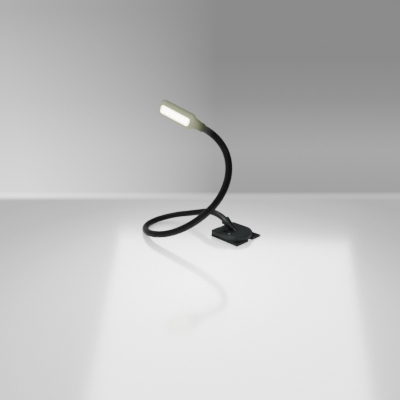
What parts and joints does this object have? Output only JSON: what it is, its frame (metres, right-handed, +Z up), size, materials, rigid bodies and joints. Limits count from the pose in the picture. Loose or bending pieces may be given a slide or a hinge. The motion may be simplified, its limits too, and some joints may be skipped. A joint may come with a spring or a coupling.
{
  "type": "clip on reading lamp",
  "caption": "Clip-on reading lamp with a spring clip, a long bendable neck and a flat light head with a glowing panel.",
  "frame": {"origin": "on the underside of the lower jaw, below the middle of the clip's housing", "axes": "+Z up; X along the clip's mouth, with the neck leaving towards -X; the mouth faces -Y and the finger tab +Y"},
  "size_m": [0.1271, 0.1077, 0.1586],
  "materials": {
    "neck_rubber": "smooth satin black rubber sleeve",
    "neck_core": "bendable metal core, hidden",
    "cable_insulation": "soft cable jacket, hidden",
    "jaw_plate": "satin black",
    "grip_rubber": "matt ribbed rubber",
    "steel": "plain",
    "base_plastic": "satin black moulded",
    "cell_foil": "pouch foil, hidden",
    "board": "green board, hidden",
    "switch_black": "fine texture",
    "clear_lens": "clear light pipe",
    "head_plastic": "satin black moulded",
    "diffuser": "milky, lit from behind",
    "white_plastic": "white",
    "board_white": "white coated board",
    "led_package": "phosphor package"
  },
  "bodies": {
    "lower_jaw": {"lower_jaw": "jaw_plate", "lower_jaw_pad": "grip_rubber", "hinge_pin": "steel", "clip_spring": "steel"},
    "housing": {"housing_tray": "base_plastic", "housing_cover": "base_plastic", "upper_jaw_pad": "grip_rubber", "battery_cell": "cell_foil", "control_board": "board", "charge_socket": "steel", "switch_body": "switch_black", "indicator_lens": "clear_lens", "housing_screws": "steel", "neck_anchor": "steel", "base_cable": "cable_insulation", "neck_sleeve_01": "neck_rubber", "neck_hose_01": "neck_core", "neck_cable_01": "cable_insulation"},
    "switch_slider": {"switch_knob": "switch_black"},
    "neck_link_02": {"neck_sleeve_02": "neck_rubber", "neck_hose_02": "neck_core", "neck_cable_02": "cable_insulation"},
    "neck_link_03": {"neck_sleeve_03": "neck_rubber", "neck_hose_03": "neck_core", "neck_cable_03": "cable_insulation"},
    "neck_link_04": {"neck_sleeve_04": "neck_rubber", "neck_hose_04": "neck_core", "neck_cable_04": "cable_insulation"},
    "neck_link_05": {"neck_sleeve_05": "neck_rubber", "neck_hose_05": "neck_core", "neck_cable_05": "cable_insulation"},
    "neck_link_06": {"neck_sleeve_06": "neck_rubber", "neck_hose_06": "neck_core", "neck_cable_06": "cable_insulation"},
    "neck_link_07": {"neck_sleeve_07": "neck_rubber", "neck_hose_07": "neck_core", "neck_cable_07": "cable_insulation"},
    "neck_link_08": {"neck_sleeve_08": "neck_rubber", "neck_hose_08": "neck_core", "neck_cable_08": "cable_insulation"},
    "neck_link_09": {"neck_sleeve_09": "neck_rubber", "neck_hose_09": "neck_core", "neck_cable_09": "cable_insulation"},
    "head": {"neck_sleeve_10": "neck_rubber", "neck_hose_10": "neck_core", "neck_cable_10": "cable_insulation", "head_shell": "head_plastic", "head_bezel": "head_plastic", "diffuser": "diffuser", "reflector": "white_plastic", "led_board": "board_white", "leds": "led_package", "head_screws": "steel", "head_clamp": "steel", "head_cable": "cable_insulation"}
  },
  "joints": [
    {"name": "jaw_hinge", "type": "hinge", "parent": "lower_jaw", "child": "housing", "pos_m": [0, 0.01, 0.0049], "axis": [-1, 0, 0], "range_deg": [0, 15], "stiffness_Nm_per_rad": 0.12, "springref_deg": -20.05, "deforming": ["clip_spring"]},
    {"name": "switch_slide", "type": "slide", "parent": "housing", "child": "switch_slider", "axis": [1, 0, 0], "range_m": [0, 0.003]},
    {"name": "neck_bend_1", "type": "hinge", "parent": "housing", "child": "neck_link_02", "pos_m": [-0.05089, -0.00192, 0.01999], "axis": [0.063, 0.8776, -0.4751], "range_deg": [-20, 20]},
    {"name": "neck_bend_2", "type": "hinge", "parent": "neck_link_02", "child": "neck_link_03", "pos_m": [-0.08433, -0.01224, 0.01044], "axis": [-0.4512, 0.8881, -0.0872], "range_deg": [-20, 20]},
    {"name": "neck_bend_3", "type": "hinge", "parent": "neck_link_03", "child": "neck_link_04", "pos_m": [-0.10211, -0.04163, 0.00484], "axis": [0.1496, 0.0664, -0.9865], "range_deg": [-20, 20]},
    {"name": "neck_bend_4", "type": "hinge", "parent": "neck_link_04", "child": "neck_link_05", "pos_m": [-0.08497, -0.0719, 0.00449], "axis": [0.4868, 0.8595, 0.1555], "range_deg": [-20, 20]},
    {"name": "neck_bend_5", "type": "hinge", "parent": "neck_link_05", "child": "neck_link_06", "pos_m": [-0.0501, -0.07664, 0.0095], "axis": [-0.1065, -0.3627, 0.9258], "range_deg": [-20, 20]},
    {"name": "neck_bend_6", "type": "hinge", "parent": "neck_link_06", "child": "neck_link_07", "pos_m": [-0.02014, -0.06121, 0.02243], "axis": [0.7432, -0.4047, -0.5329], "range_deg": [-20, 20]},
    {"name": "neck_bend_7", "type": "hinge", "parent": "neck_link_07", "child": "neck_link_08", "pos_m": [-0.00151, -0.03898, 0.04422], "axis": [-0.3467, 0.7752, -0.5281], "range_deg": [-20, 20]},
    {"name": "neck_bend_8", "type": "hinge", "parent": "neck_link_08", "child": "neck_link_09", "pos_m": [0.00244, -0.01821, 0.07343], "axis": [-0.8949, -0.4352, 0.0991], "range_deg": [-20, 20]},
    {"name": "neck_bend_9", "type": "hinge", "parent": "neck_link_09", "child": "head", "pos_m": [-0.01239, -0.00697, 0.10408], "axis": [-0.62, 0.4984, -0.606], "range_deg": [-20, 20]}
  ]
}
